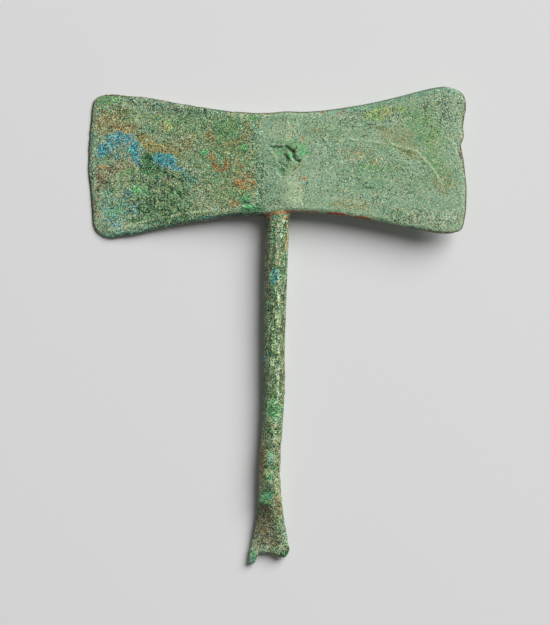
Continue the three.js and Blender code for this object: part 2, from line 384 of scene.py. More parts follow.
# Cuts: half width, depth, and the points they run through. A negative depth is a ridge.
CUTS = [
    # The scar, and the crests beside its cuts.
    (0.5, 0.55, (-1.2, 6.5), (2.2, 6.7)), (0.6, 0.8, (4, 6.8), (5.3, 5.7), (6.9, 4.6)),
    (0.5, 0.75, (6.9, 4.6), (7, 2.9), (7.9, 1.3), (9.2, 1.1)),
    (0.45, 0.6, (3.6, 3.6), (4.6, 2.2), (4.4, 0.8)), (0.4, -0.3, (5.2, 4), (6, 1.4)),
    (0.5, -0.2, (-2.6, 5.9), (-0.2, 2.5)), (0.45, 0.45, (1, 0.5), (4, -1.5)),
    (0.45, -0.22, (-0.4, -3.5), (2, -5.5)), (0.4, -0.15, (8.8, 6.2), (11, 4.9)),
    (0.45, 0.2, (9, 5.2), (11.2, 4.1)), (0.45, -0.22, (2.4, -0.6), (4.2, -2.6), (3.6, -4.4)),
    (0.4, -0.16, (-1.2, 7.5), (4.4, 7.7)),
    # A crease inside the left edge.
    (0.6, 0.25, (-73.2, 7.3), (-70.5, 11.5), (-66.4, 14.7)), (0.8, -0.16, (-74, 8.2), (-69.2, 14)),
    # The raised curve on the right wing, and the dark line below it.
    (0.45, -0.18, (28.8, 9.7), (46, 7.7)), (0.45, -0.22, (46, 7.7), (55.6, 4.9), (60.8, -0.3)),
    (0.5, -0.18, (60.8, -0.3), (64, -4.7)), (0.5, 0.12, (46, 6.5), (55, 3.6)),
    # A faint ridge and two short cuts on the right wing.
    (0.4, -0.05, (24, -5.4), (46, -7.2)), (0.4, 0.15, (34, 10.6), (37.6, 12.4)),
    (0.4, 0.2, (34.6, -9.8), (39, -10)),
    # Flaked crust on the left wing.
    (0.5, -0.14, (-42.4, 8.5), (-38.8, 10.1), (-34.8, 10.5), (-31.6, 8.6)),
    (0.4, -0.1, (-40.8, 7.7), (-38, 6.5), (-34.8, 4.1)),
    (0.5, -0.1, (-52.6, 9.6), (-47, 10.6), (-42.4, 8.5)),
    # The left side of the swelling.
    (0.5, 0.08, (-5.8, 18), (-5.6, 0), (-6, -18)),
]

# Patches: x, y, half width, half height, strength, and any turn in degrees. The last two kinds aren't
# colours: they say where pale flecks and dark pits gather.
PATCHES = {
    "olive": [
        (-41, 0, 35, 36, 0.62), (-1, -90, 8, 72, 0.85), (-60, 16, 16, 8, 0.6), (-20, 0, 14, 20, 0.75),
        (30, 2, 12, 5, 0.3), (26, 12, 10, 5, 0.25),
    ],
    "leaf": [
        (-67, 25.6, 5, 2.2, 0.9, -4), (-19, 14, 6.5, 4.6, 0.95), (-40, -13, 8, 6, 0.8),
        (-47, -22, 9, 4, 0.6), (-26, -6, 6, 7, 0.45), (-34, 18, 9, 5, 0.45), (-52, 18, 8, 4, 0.35),
        (6, 6, 9, 4.6, 0.8), (3, -1.5, 5, 5, 0.6), (37, -5, 8, 7, 0.62), (62, 8, 7, 15, 0.5, 8),
        (57, 18, 8, 5, 0.6), (48, -2, 7, 4, 0.35), (16, 16, 12, 3, 0.3), (-9, 17, 4, 4, 0.5),
        (-1, -66, 6, 44, 0.5), (-3.4, -70, 2.4, 16, 0.8), (-1.6, -98, 4, 9, 0.6), (-5, -110, 3, 10, 0.5),
    ],
    "lime": [
        (-43.8, 14.8, 3.2, 2.6, 1), (-20, 14.6, 4, 2.4, 0.5), (41, 19.6, 6, 3, 0.8, 10),
        (50, 21.8, 2.8, 1.8, 0.8), (62, 12, 4.4, 10, 0.42, 8), (66, -2, 4, 8, 0.38, 20),
        (58, 15, 3.4, 5, 0.35), (-42, -11, 5, 4, 0.5), (-56, 18, 3, 1.6, 0.5),
    ],
    "mist": [
        (-2, -4, 4, 15, 0.8), (-1.5, 12, 4, 8, 0.6), (20, 6, 12, 9, 0.55), (24, -8, 18, 7, 0.65, -3),
        (40, 8.5, 12, 3, 0.5, -6), (55, -16, 18, 6, 0.6, -4), (40, 17, 10, 4, 0.4, 8),
        (70, -6, 4, 14, 0.6), (70, 22, 5, 6, 0.4), (-40, 23, 20, 3.4, 0.5, -9), (-71, 2, 2, 20, 0.4),
        # The last two paint light on the haft's left side, which faces away from the key light.
        (-4.4, -46, 1.2, 30, 0.5), (-5, -88, 1.2, 26, 0.4),
    ],
    "pale": [
        (7.4, -10, 3.4, 8, 0.85, 8), (3, 13, 7, 4.6, 0.55), (12, 10, 5, 4, 0.35), (18, -4, 10, 9, 0.35),
        (-30, -17.6, 8, 2.2, 0.45, 6), (-33, -14, 3, 2, 0.4), (-62, -4, 4, 3.4, 0.45),
        (-66, -15, 5, 5, 0.4), (-54, 19, 3, 4, 0.5), (-8.8, 18.4, 2, 1, 0.8), (60, -18, 8, 4, 0.3),
        (47, 7.2, 6, 0.6, 0.6, -8), (56, 3.6, 3, 0.6, 0.7, -38), (61.8, -2.2, 3.4, 0.5, 0.6, -58),
        (36, 8.4, 8, 0.5, 0.4, -6), (34, -6.2, 12, 0.5, 0.4, -4), (-2.4, -78.7, 1.2, 1.2, 1.2),
        (-2.6, -87.6, 1.2, 1.4, 1.2), (-2.2, -127.4, 1.6, 1.4, 0.9), (-2, -115.6, 1.6, 2, 0.7),
        (1.6, -151.4, 1, 1.4, 0.5), (-8, -152.8, 1.6, 1.8, 0.5),
    ],
    "earth": [
        (-68, 16, 6, 5, 0.8), (-61, 14.5, 6, 3, 0.95, -20), (-64.5, 20, 6, 3, 0.55),
        (-53, 9.6, 6, 2.6, 0.85, -20), (-44, 6.4, 8, 2.6, 0.9, -8), (-36.6, 8, 5, 4, 0.6),
        (-26.6, 11, 2.6, 4, 0.7), (-16, 8.6, 7, 1.6, 0.6, 14), (-12, 13, 3, 4, 0.6),
        (-12, -7, 7, 5, 0.62), (-22, -12, 8, 6, 0.35), (-17, -16.6, 3, 2, 0.9), (48, 11, 8, 5, 0.5, -8),
        (52.4, 4.4, 6, 2.4, 0.6, -30), (44, 14, 5, 2, 0.45), (31, 4, 8, 3, 0.42, 4),
        (39, 0.4, 2, 1.6, 0.5), (30, -16, 10, 3, 0.5, -6), (67, -8, 5, 5, 0.5), (45, 20, 3, 2, 0.5),
        (17, 12, 4, 3, 0.3), (0, -46, 5, 26, 0.3), (0.6, -66, 3, 20, 0.25), (-6.2, -117, 1.6, 12, 1.1, 4),
        (0.6, -118, 2, 12, 0.5), (0.6, -136, 2.2, 7, 0.75, 6), (-3, -151, 6, 4, 0.25),
    ],
    "umber": [
        (-67.6, -2.2, 6, 2, 0.72), (-70.4, -6.4, 2.4, 3.4, 0.85), (-72.6, -17, 1, 5, 0.7),
        (-71, 7, 2, 1.6, 0.4, 40), (73.6, 6, 0.9, 4, 0.9), (-6, -142, 4.4, 6.8, 1.2, 6),
        (-4, -149, 6, 5, 0.85), (-6.8, -139, 1.2, 1.4, 1), (2.8, -155.6, 2.8, 1.8, 1.3, 30),
        (0.4, -139, 2.4, 8, 0.5), (-10.4, -158.6, 1.6, 1.4, 0.6),
    ],
    "teal": [
        (-35.4, -4.6, 5.4, 1.6, 0.95, -38), (-7.4, 8, 1.6, 11, 0.45), (-7, -8, 1.2, 8, 0.5),
        (-42.8, 23.4, 20, 2.4, 0.45, -9), (2.6, -144.5, 0.6, 5, 0.5, 12), (-74.2, -4, 1, 22, 0.5),
    ],
    "crust": [
        (-51.8, 2.2, 2.4, 3, 1), (-49, -3, 8, 2.8, 0.85, -14), (-40, -4.6, 4, 2.6, 0.7, -30),
        (-46, -14, 12.5, 9.5, 0.62, -12), (-50, -17, 7, 3.6, 0.8, 10), (-40, -20.6, 7, 3.6, 0.8, 10),
        (-33.6, -14.6, 2.4, 4, 0.6), (-46, -9, 3, 2, 0.6), (-58, -18, 4, 6, 0.35),
        (-11.6, -15.8, 1.4, 0.9, 1), (-9, -18.4, 5, 1.8, 0.85), (6.2, 5.3, 2.4, 0.8, 0.4, -18),
        (8.6, 2.4, 0.9, 2.2, 0.7, 26), (4.6, 2.6, 0.6, 1.8, 0.6, 12), (0.4, 6.7, 1.9, 0.6, 0.7, -8),
        (-22.4, 12.6, 2, 1.6, 0.7), (50.4, 3.2, 5, 1.4, 0.3, -24), (36.8, -9.9, 2.6, 0.6, 0.5, -4),
        (-1.6, -98, 3, 5, 0.4), (-0.4, -21.2, 2.2, 1, 0.8), (-2.8, -131.4, 2.6, 1.4, 1.1),
        (-3, -121.4, 2.6, 1.2, 1), (2.8, -155.8, 2.6, 1.5, 0.8, 30),
    ],
    "malachite": [
        (-60, -3.4, 1.8, 2, 0.9, -20), (-55, -10.4, 4, 2.2, 0.9, -8), (-12.4, -13.8, 3, 1.4, 0.8, 10),
        (-10.6, -17, 2.4, 1, 0.9), (-13, 6.1, 1.7, 1.3, 0.9), (-9, 18.2, 2.6, 1.1, 0.8, -10),
        (8.6, 7, 4, 1.4, 0.46, -10), (5.6, 3, 1, 1.8, 0.8, 14), (0.6, 4.4, 2.6, 1.6, 0.42, -20),
        (11, 4.4, 2, 1.4, 0.8), (1, -2, 0.8, 2.2, 0.6, 20), (-67, -11.6, 3, 2.4, 0.5),
        (-65, -19, 4, 4, 0.5), (-40, -13, 3, 2.4, 0.4), (-29, 4.6, 1.6, 1.4, 1),
        (-1.6, -98.2, 3.4, 5.4, 0.8), (-2.4, -117.6, 2.6, 3, 0.6), (-3.4, -125, 2.8, 3.4, 0.6),
        (-4.4, -134.4, 2.8, 2.2, 0.85), (-9.8, -156.6, 1.6, 3, 0.75, 15), (-4, -57, 1, 5, 0.35),
    ],
    "azurite": [
        (-70, 5.6, 3.2, 2.8, 0.84, 30), (-66.4, 8, 3.6, 2.8, 0.74, 20), (-62.6, 10.8, 6.6, 2.6, 0.8, 4),
        (-56.8, 4.8, 2.8, 6, 0.86, 10), (-62, 5.6, 6.4, 4.4, 0.5), (-58.8, 9, 3.4, 2.2, 0.8, -40),
        (-45, 1.4, 5, 2.8, 0.95, -6), (-40.2, -1.4, 2.2, 1.3, 1, -40), (-68, -15, 4, 2.4, 0.42, 20),
        (-60.6, -12.6, 3, 2.4, 0.5, 40), (-57.6, -18, 4.4, 3, 0.46), (-64.4, -24.6, 3, 2, 0.5),
        (-65, -18, 8, 8, 0.4), (-30, -11.5, 5, 3, 0.22, -30), (-5, -43, 0.7, 2, 0.6),
        (-4.2, -77.5, 0.9, 4, 0.6, -8),
    ],
    "turquoise": [
        (-0.9, -45, 2.1, 2.9, 1.5), (-0.4, -21.6, 1.6, 0.8, 0.7), (-2, -117.6, 1.4, 1.6, 0.7),
        (-3.4, -132.6, 1.2, 1.6, 0.6), (-10.4, -158.2, 0.9, 1.6, 0.8, 15),
    ],
    "cuprite": [
        (-25.4, 2.8, 0.6, 2.2, 0.85, 10), (-23.4, -0.8, 2.2, 0.6, 0.85, -30),
        (-20.4, -0.6, 0.6, 2, 0.8, -20), (-18.4, 2.4, 0.8, 1.4, 0.5), (-14.6, -1, 0.8, 1.4, 0.7),
        (-14.6, -8, 1.4, 1.2, 0.75), (-12, -5.4, 1, 0.8, 0.6), (-8.8, -7.8, 1.4, 0.7, 0.75, 8),
        (-12, -9.6, 3, 0.6, 0.5), (11, -5.6, 1.1, 1.3, 0.7, -20), (9.4, -9.4, 0.6, 2, 0.6),
        (10.6, 10, 0.7, 1, 0.65), (17, 12.6, 1.6, 1, 0.4), (32, 4.4, 2.6, 0.6, 0.5, 8),
        (-61, 0, 4, 3.4, 0.45), (-66, 17, 6, 3, 0.4), (-62, 14, 5, 1.2, 0.55),
        (-47, 5.6, 6, 1.2, 0.42, -4), (-70, -1, 3, 1.2, 0.6), (-70.4, -5.6, 2.4, 1.8, 0.46),
        (-3.4, -21.8, 1.4, 0.9, 0.8), (3.4, -21.9, 1.3, 0.9, 0.8),
    ],
    "vermilion": [
        (26.4, 20.4, 3.6, 0.7, 0.5, 8), (18.6, 19.8, 1.4, 1, 0.45),
    ],
    "fleck": [
        (-62, 4, 9, 8, 0.8), (-66, -7, 6, 5, 1.2), (-64, 17, 10, 7, 0.6), (-43.8, 14.8, 3.4, 3, 1),
        (-52, 19, 4, 3, 0.6), (-73, -8, 1.4, 16, 0.7), (-40, -12, 14, 12, 0.5), (-30, -14, 5, 3, 0.5),
        (-42, 24, 18, 2.4, 0.7, -9), (-38, 7, 8, 5, 0.45), (-8, 19, 6, 2, 0.6), (60, -22, 14, 4, 0.45),
        (68, 12, 8, 18, 0.3), (46, 20, 10, 4, 0.4), (30, 4, 20, 8, 0.2), (-1, -60, 8, 40, 0.4),
        (-2, -118, 6, 18, 0.8), (-3, -151, 8, 8, 0.6),
    ],
    "pitted": [
        (-46, -12, 16, 14, 1.2), (-42, 23.6, 20, 3.4, 0.8, -9), (-70, -6, 5, 5, 0.8), (-62, 6, 8, 6, 0.4),
        (-64, 18, 8, 6, 0.4), (-30, 0, 26, 20, 0.3), (-4.6, -8, 1.6, 12, 0.8), (66, 21.6, 9, 7, 0.8),
        (56, -22, 16, 4, 0.8, -4), (40, 18, 14, 4, 0.6, 8), (40, -8, 20, 12, 0.4), (12, 4, 14, 18, 0.3),
        (-1, -90, 8, 72, 1.1),
    ],
}
# Strips along the blade's sides: side, from, to, width, strength. From and to are x along the top
# and bottom, and y along the left and right edges.
RIMS = {
    "teal": [
        ("bottom", -72, -5, 1.4, 0.8), ("bottom", 38, 60, 1.2, 0.4), ("top", -60, -20, 1.6, 0.6),
        ("top", 20, 70, 2.4, 0.5),
    ],
    "mist": [("bottom", -72, -34, 3.2, 0.8)],
    "azurite": [("bottom", -34, -15, 0.4, 0.6)],
    "cuprite": [("bottom", -6, 8, 0.6, 0.7), ("bottom", 26, 31, 0.5, 0.5)],
    "vermilion": [
        ("bottom", 5, 18, 0.35, 0.6), ("bottom", 20, 28, 0.6, 0.9), ("bottom", 31, 38, 0.55, 0.85),
    ],
    "umber": [
        ("bottom", 52, 76, 0.5, 0.9), ("top", -74, 76, 0.35, 0.8), ("left", -28, 26, 0.5, 0.9),
        ("right", -28, 30, 0.45, 0.9),
    ],
}

# Streaks: half width, strength, and the points they run through.
STREAKS = {
    "pale": [
        # Painted highlights: these pale lines lie on the scar's crests and lips that face the light.
        (0.4, 1, (-2.6, 5.9), (-0.2, 2.5)), (0.4, 0.9, (5.2, 3.9), (6, 1.5)),
        (0.35, 0.9, (-0.4, -3.5), (2, -5.5)), (0.35, 0.9, (7.9, 2.6), (8.4, 1.7)),
        (0.35, 0.8, (8.8, 6.1), (11, 4.9)), (0.35, 0.8, (-1.2, 7.4), (2.6, 7.5), (4.4, 7.6)),
        (0.35, 0.7, (2.4, -0.6), (4.2, -2.6), (3.6, -4.4)),
        (0.4, 0.62, (20, 9.8), (28.8, 9.7), (46, 7.7)), (0.4, 1, (46, 7.7), (55.6, 4.9), (60.8, -0.3)),
        (0.4, 0.85, (60.8, -0.3), (64, -4.7), (66, -8)),
        (0.5, 0.45, (16, -3), (29, -4.6), (47, -6.6), (58, -8.6)), (0.4, 0.35, (22, -7.6), (38, -9.4)),
        (0.7, 0.5, (14, -9), (36, -11.6), (58, -15.4)), (0.7, 0.45, (16, -13), (40, -16.4), (66, -22)),
        (0.6, 0.5, (10, -6), (30, -8)), (0.6, 0.4, (10, 14.6), (34, 13.6)),
        (0.4, 0.75, (-42.4, 8.5), (-38.8, 10.1), (-34.8, 10.5), (-31.6, 8.6)),
        (0.35, 0.6, (-40.8, 7.7), (-38, 6.5), (-34.8, 4.1)),
        (0.35, 0.6, (-52.6, 9.6), (-47, 10.6), (-42.4, 8.5)), (0.5, 0.8, (-70.6, 12.4), (-66.8, 15.8)),
        (0.4, 0.6, (-72.4, 20), (-73.4, 6), (-73, -12), (-71, -23)),
        (0.3, 0.7, (-14.6, 14.4), (-12.4, 12.2)),
        # Painted highlight: the pale stripe right of the haft's middle, where the key light glints on the
        # round bar.
        (0.5, 1.3, (1.3, -24), (0.9, -50), (0.8, -76), (0.1, -96), (-0.5, -112)),
        (0.45, 0.9, (-68, -26.4), (-52, -22.6), (-36, -19.6), (-24, -18.2)),
    ],
    "cuprite": [
        (0.5, 0.8, (-27.6, 3), (-26, 2.4)),
        (0.5, 0.9, (-25.6, 0.4), (-23.6, -2.4), (-20.6, -2.8), (-18.8, -1.2)),
        (0.6, 0.8, (-19.4, 0.6), (-18.9, -0.2)), (0.5, 0.75, (-16.4, 1.4), (-15.4, -0.6)),
        (0.5, 0.8, (-14.6, -3), (-14, -4.2)), (0.5, 0.9, (-17, -6.8), (-14.6, -7.6), (-12.6, -7)),
        (0.6, 0.9, (-15, -8.6), (-13.4, -9.2)), (0.6, 0.9, (-10, -7.4), (-8.2, -8)),
        (0.35, 0.9, (6.4, 5.4), (7.3, 5)), (0.3, 0.45, (-1, 7.3), (2, 7.4)),
        (0.5, 0.7, (4.3, -24), (3.9, -34)), (0.5, 0.55, (-4.1, -24), (-4.4, -50)),
        (0.45, 0.5, (3.2, -58), (2.8, -76), (2.4, -96)), (0.5, 0.9, (-6.4, -108), (-6.8, -128)),
    ],
    "earth": [(0.4, 0.8, (7.6, -1.5), (9.2, 0.1)), (0.4, 0.5, (4.6, 5), (6.2, 3.8))],
    "crust": [
        (0.4, 1, (-1, 6.5), (2, 6.6)), (0.4, 1, (4, 6.7), (5.3, 5.7), (6.9, 4.7)),
        (0.35, 0.9, (7, 3), (7.9, 1.4), (9.2, 1.1)), (0.35, 0.9, (3.7, 3.4), (4.6, 2.2), (4.4, 1)),
        (0.35, 0.7, (1, 0.5), (4, -1.5)), (0.4, 0.5, (-41, 11.4), (-36, 11.2)),
        (0.9, 0.8, (-57, -23), (-44, -22.6), (-36, -18.4)), (0.4, 0.7, (34, 10.6), (37.6, 12.4)),
        (0.4, 0.7, (34.6, -9.8), (39, -10)), (0.4, 0.5, (46, 6.4), (54, 3.8)),
        (0.5, 0.6, (-5.6, 0), (-6, -18)), (1.1, 0.6, (-0.9, -24), (-1.4, -50), (-1.7, -76), (-2.8, -110)),
        (0.9, 0.6, (3.3, -24), (2.9, -50), (2.4, -76), (1.3, -96), (0.6, -112)),
    ],
    "teal": [(1.2, 0.9, (-40, -1.5), (-34.6, -6.3), (-32, -7)), (0.5, 0.4, (-5.7, 19), (-5.5, 6))],
}


def off_centre(place, x, y, wide, high, turn=0):
    """Distance from a tilted ellipse's middle, where 1 is its outline."""
    dx, dy = place[:, 0] - x, place[:, 1] - y
    a = math.radians(turn)
    along, beside = dx * math.cos(a) + dy * math.sin(a), dy * math.cos(a) - dx * math.sin(a)
    return np.sqrt((along / wide) ** 2 + (beside / high) ** 2)


def from_line(place, points):
    """Distance from a line through points, in millimetres."""
    nearest = np.full(len(place), np.inf)
    for start, end in zip(points, points[1:]):
        run = np.subtract(end, start)
        gap = place[:, :2] - start
        t = np.clip(gap @ run / (run @ run), 0, 1)
        nearest = np.minimum(nearest, np.linalg.norm(gap - t[:, None] * run, axis=1))
    return nearest


# Outlines fade between these distances: of a patch, a streak and a rim, as shares of their size.
PATCH_FADE, STREAK_FADE, RIM_FADE = (0.55, 1.45), (0.6, 1.7), (0.6, 1.3)
# How far patches and finer marks are pushed about, in millimetres, and how big those pushes are.
RAGGED, NEARLY, PUSH_SIZE = 1.1, 0.25, 3.2


class Surface:
    """The finished mesh's points and where each lies on the axe."""

    def __init__(self, axe):
        self.place = vertex_array(axe.data.vertices, "co")
        self.normal = vertex_array(axe.data.vertex_normals, "vector")
        x, y, _ = self.place.T
        facing = self.normal[:, 2]
        self.front = smoothstep(facing, -0.15, 0.35)
        low, high = bottom_side(x), top_side(x)
        self.to_bottom, self.to_top = y - low, high - y
        self.haft = smoothstep(-self.to_bottom, 0.4, 1.8)
        self.blade = 1 - self.haft
        # The haft's upper part, which was drawn out lengthwise and has little crust.
        self.striped = self.haft * smoothstep(y, -118, -84)
        self.steep = smoothstep(1 - np.abs(facing), 0.25, 0.8) * self.blade
        t = np.clip(2 * (y - low) / (high - low) - 1, -1, 1)
        reach = np.where(x < 0, edge_reach("left", t), edge_reach("right", t))
        self.to_edge = reach - np.abs(x)
        # The left wing and the haft are the roughest.
        self.rugged = lerp(smoothstep(-x, 3, 9), 1, self.haft)
        # Places pushed about a little, so that patches get ragged outlines.
        push = np.stack([noise(self.place, PUSH_SIZE, seed, 3) for seed in (31, 32, 33)], 1)
        self.ragged = self.place + RAGGED * push
        self.near = self.place + NEARLY * push

    def patches(self, kind):
        """How strongly a kind of patina shows at each point of the front, from 0 to 1."""
        strength = np.zeros(len(self.place))
        for x, y, wide, high, most, *turn in PATCHES[kind]:
            d = off_centre(self.ragged, x, y, wide, high, *turn)
            strength = np.maximum(strength, most * (1 - smoothstep(d, *PATCH_FADE)))
        for wide, most, *points in STREAKS.get(kind, []):
            d = from_line(self.near, points) / wide
            strength = np.maximum(strength, most * (1 - smoothstep(d, *STREAK_FADE)))
        return strength * self.front

    def rim(self, kind):
        """The same along the blade's long sides and cutting edges."""
        x, y, _ = self.ragged.T
        strength = np.zeros(len(x))
        for side, start, end, wide, most in RIMS.get(kind, []):
            gap, along = {
                "bottom": (self.to_bottom, x),
                "top": (self.to_top, x),
                "left": (self.to_edge + HALF_SPAN * (x > 0), y),
                "right": (self.to_edge + HALF_SPAN * (x < 0), y),
            }[side]
            here = smoothstep(along, start - 1, start + 1) * smoothstep(-along, -end - 1, 1 - end)
            strength = np.maximum(strength, most * here * (1 - smoothstep(gap / wide, *RIM_FADE)))
        return strength * self.blade * self.front


# Bumps in the skin: their height and size in millimetres, the noise's seed and its octaves.
SWELLS = (0.1, 15, 1, 2)
RIPPLES = (0.07, 5, 2, 2)
GRAIN = (0.06, 1.8, 3, 3)
CRUST_LUMPS = (0.12, 4, 6, 1)
CRUST_GRIT = (0.3, 1.5, 11, 2)
BLUE_GRIT = (0.1, 1.4, 7, 2)
DRAWN_FINE = (0.075, 0.8, 8, 2)
DRAWN_BROAD = (0.05, 2.2, 9, 1)
HAFT_GRIT = (0.26, 1.8, 10, 2)
DRAWN_OUT = (1, 0.045, 1)  # stretches the haft's bumps lengthwise
ISLANDS, PITS = 0.14, 0.1  # height of the skin left in islands on the left wing, and depth of pits
CRUST_THICK, BLUE_THICK = 0.1, 0.06
CHAMFER_DEPTH, CHAMFER_WIDTH = 0.55, 2.6
CREASE_DEPTH, CREASE_IN, CREASE_WIDTH = 0.14, 2.3, 0.5


def bumps(place, height, size, seed, octaves):
    return height * noise(place, size, seed, octaves)


def back_patches(place, seed, size, least):
    """Broad patches for the hidden side, plainer than the front's."""
    return smoothstep(noise(place, size, seed, 3), least, least + 0.7)


def skin_relief(s):
    """The roughness left by casting, corrosion and crusts."""
    place = s.place
    rugged = lerp(0.5, 1, s.rugged)
    height = bumps(place, *SWELLS) + rugged * (bumps(place, *RIPPLES) + bumps(place, *GRAIN))
    height += ISLANDS * smoothstep(noise(place, 6, 12, 4), -0.06, 0.06) * s.rugged * s.blade
    height -= PITS * smoothstep(noise(place, 1.5, 4, 2), 0.55, 1)
    crusty = np.clip(s.patches("crust") + 0.7 * s.patches("malachite"), 0, 1)
    crusty = np.where(s.front > 0.5, crusty, back_patches(place, 5, 18, 0.3) * (1 - s.front))
    height += crusty * (CRUST_THICK + bumps(place, *CRUST_LUMPS) + bumps(place, *CRUST_GRIT))
    return height + s.patches("azurite") * (BLUE_THICK + bumps(place, *BLUE_GRIT))


def marks_relief(s):
    """The dents, lumps, cuts and ridges of the front."""
    marks = np.zeros(len(s.place))
    for x, y, wide, high, depth, *turn in HOLLOWS:
        marks -= depth * bell(off_centre(s.near, x, y, wide, high, *turn), 1)
    for width, depth, *points in CUTS:
        marks -= depth * bell(from_line(s.near, points), width)
    return marks * s.front


def relief(s):
    """Height of the corroded skin over the smooth shape, in millimetres."""
    x, y, _ = s.place.T
    height = skin_relief(s) + marks_relief(s)
    # The left wing's lower side is a chamfer, and a faint crease runs inside its cutting edge.
    chamfer = np.clip(1 - s.to_bottom / CHAMFER_WIDTH, 0, 1) * smoothstep(-x, 4, 14)
    height -= CHAMFER_DEPTH * chamfer * s.front * s.blade
    height -= CREASE_DEPTH * bell(s.to_edge - CREASE_IN, CREASE_WIDTH) * (x < 0) * s.blade
    # The haft's upper part is drawn out lengthwise, and its lower part gritty.
    drawn = s.place * DRAWN_OUT
    height += s.striped * (bumps(drawn, *DRAWN_FINE) + bumps(drawn, *DRAWN_BROAD))
    height += s.haft * smoothstep(-y, 100, 116) * bumps(s.place, *HAFT_GRIT)
    # Relief dies away towards the cutting edges, which are thin.
    thin = lerp(0.25, 1, smoothstep(s.to_edge, 0.2, 3.5))
    return height * np.where(s.blade > 0.5, thin, 1)


# The hidden side's patches: strength, the noise's seed, their size, and how rare they are.
HIDDEN = {
    "azurite": (0.6, 21, 16, 0.3),
    "crust": (0.7, 5, 18, 0.1),
    "earth": (0.7, 23, 14, 0),
    "malachite": (0.6, 24, 9, 0.3),
    "pale": (0.6, 25, 20, 0),
}
HIDDEN_ALL_OVER = {"olive": 0.5, "fleck": 0.3, "pitted": 0.5}


def roughen(axe):
    """Moves the surface by its relief, and keeps what the materials need to know of it."""
    s = Surface(axe)
    height = relief(s)
    s.place += s.normal * height[:, None]
    marks = {kind: np.maximum(s.patches(kind), s.rim(kind)) for kind in PATCHES}
    for kind, (strength, seed, size, least) in HIDDEN.items():
        marks[kind] += (1 - s.front) * strength * back_patches(s.place, seed, size, least)
    for kind, strength in HIDDEN_ALL_OVER.items():
        marks[kind] += (1 - s.front) * strength
    marks |= {"height": height, "steep": s.steep, "rugged": s.rugged}
    marks |= {"haft": s.haft, "striped": s.striped}
    for name, values in marks.items():
        layer = axe.data.attributes.new(name, "FLOAT", "POINT")
        layer.data.foreach_set("value", values.astype(np.float32))
    return s.place


def lean_over(place):
    """Leans the axe to the left, and turns millimetres into metres."""
    x, y, w = place.T
    c, s = math.cos(LEAN), math.sin(LEAN)
    return np.stack([x * c - w * s, y, x * s + w * c], 1) * MM


def lay_down(axe, smooth_place, place):
    """Sets the axe on the ground where the CAD has it, going by its shape before the relief."""
    low, high = (np.array(corner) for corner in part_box(NODE))
    smooth = lean_over(smooth_place)
    shift = (low + high) / 2 - (smooth.min(0) + smooth.max(0)) / 2
    shift[2] = -ground_under(0) * math.cos(LEAN) * MM
    final = lean_over(place) + shift
    final[:, 2] = np.maximum(final[:, 2], 0)
    axe.data.vertices.foreach_set("co", final.astype(np.float32).ravel())
    axe.data.update()


axe = joined_axe()
soften_joint(axe)
smooth_place = vertex_array(axe.data.vertices, "co")
place = roughen(axe)
lay_down(axe, smooth_place, place)
axe.data.polygons.foreach_set("use_smooth", [True] * len(axe.data.polygons))


# ---------------- the patina


def srgb(red, green, blue):
    """A colour given in 8-bit display values, as Blender's linear colour."""
    display = np.array([red, green, blue]) / 255
    linear = np.where(display <= 0.04045, display / 12.92, ((display + 0.055) / 1.055) ** 2.4)
    return (*linear.tolist(), 1)


def feed(socket, value):
    """Gives a socket a value, or links it to the socket that makes the value."""
    if isinstance(value, bpy.types.NodeSocket):
        socket.id_data.links.new(value, socket)
    else:
        socket.default_value = value


def fill(node, **values):
    """Feeds a node's inputs by name, with _ for each space."""
    for name, value in values.items():
        feed(node.inputs[name.replace("_", " ")], value)


